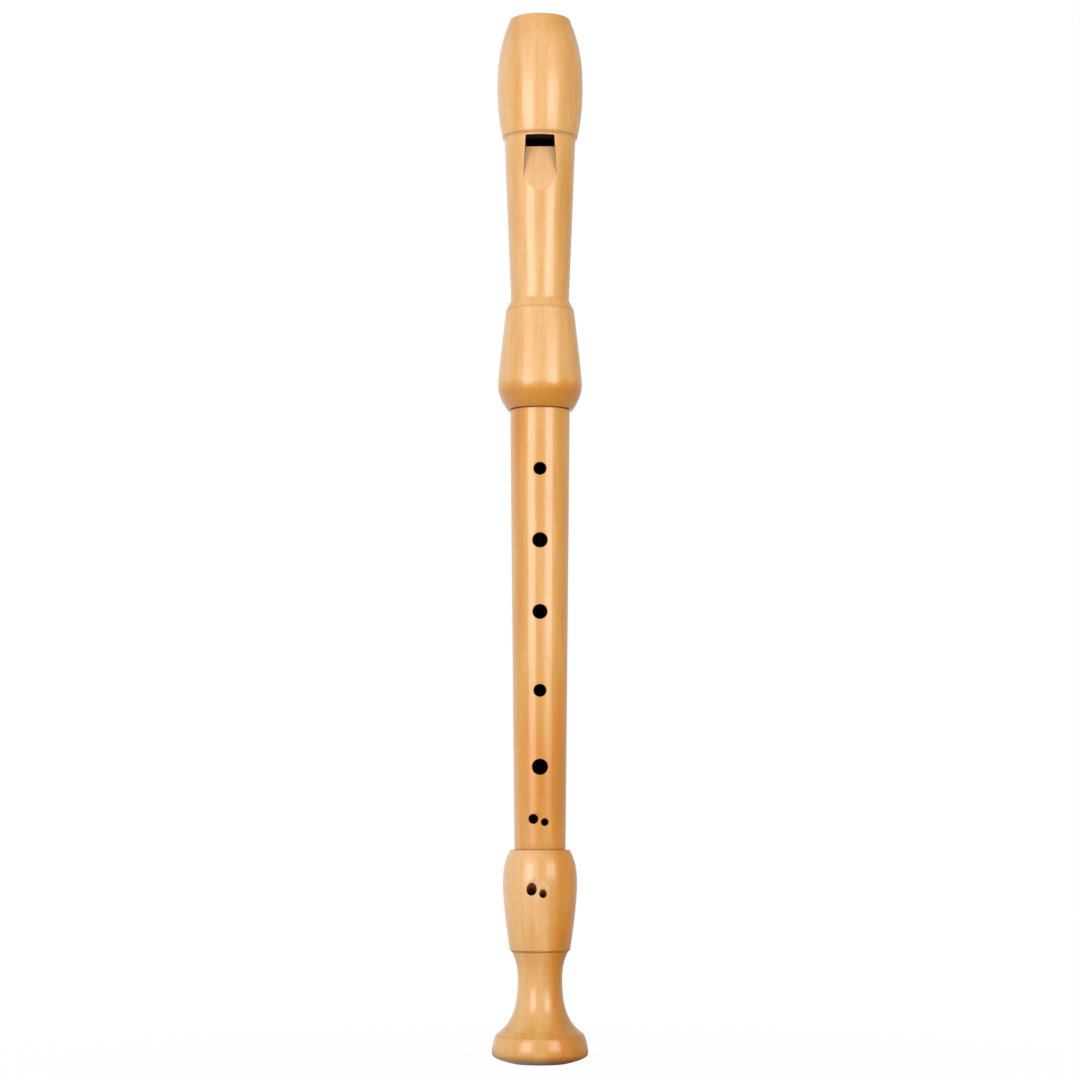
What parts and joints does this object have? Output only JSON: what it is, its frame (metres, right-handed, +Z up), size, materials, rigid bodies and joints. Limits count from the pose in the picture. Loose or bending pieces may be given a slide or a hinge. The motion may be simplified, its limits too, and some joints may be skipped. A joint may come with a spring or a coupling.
{
  "type": "alto recorder",
  "caption": "Turned wooden alto recorder in three joints, with a beak, windway and block, finger holes, double low holes and corked tenons.",
  "frame": {"origin": "centre of the bell's end face, on the bore's axis", "axes": "+Z up the bore towards the beak; -Y is the front, with the window and finger holes; +Y is the back, with the thumb hole and the beak's hollow"},
  "size_m": [0.0452, 0.0452, 0.5],
  "materials": {
    "body_wood": "satin lacquered pearwood, light warm orange-brown",
    "block_cedar": "bare red cedar, dull",
    "tenon_cork": "sanded sheet cork, dull"
  },
  "bodies": {
    "foot": {"foot_joint": "body_wood"},
    "lower_cork": {"lower_tenon_cork": "tenon_cork"},
    "middle": {"middle_joint": "body_wood"},
    "upper_cork": {"upper_tenon_cork": "tenon_cork"},
    "head": {"head_joint": "body_wood"},
    "block": {"block": "block_cedar"}
  },
  "joints": [
    {"name": "foot_pull", "type": "slide", "parent": "foot", "child": "lower_cork", "axis": [0, 0, 1], "range_m": [0, 0.017]},
    {"name": "foot_twist", "type": "hinge", "parent": "lower_cork", "child": "middle", "pos_m": [0, 0, 0.0919], "axis": [0, 0, 1], "continuous": true},
    {"name": "head_twist", "type": "hinge", "parent": "middle", "child": "upper_cork", "pos_m": [0, 0, 0.3215], "axis": [0, 0, 1], "continuous": true},
    {"name": "head_pull", "type": "slide", "parent": "upper_cork", "child": "head", "axis": [0, 0, 1], "range_m": [0, 0.0255]},
    {"name": "block_slide", "type": "slide", "parent": "head", "child": "block", "axis": [0, 0, 1], "range_m": [0, 0.061]}
  ]
}
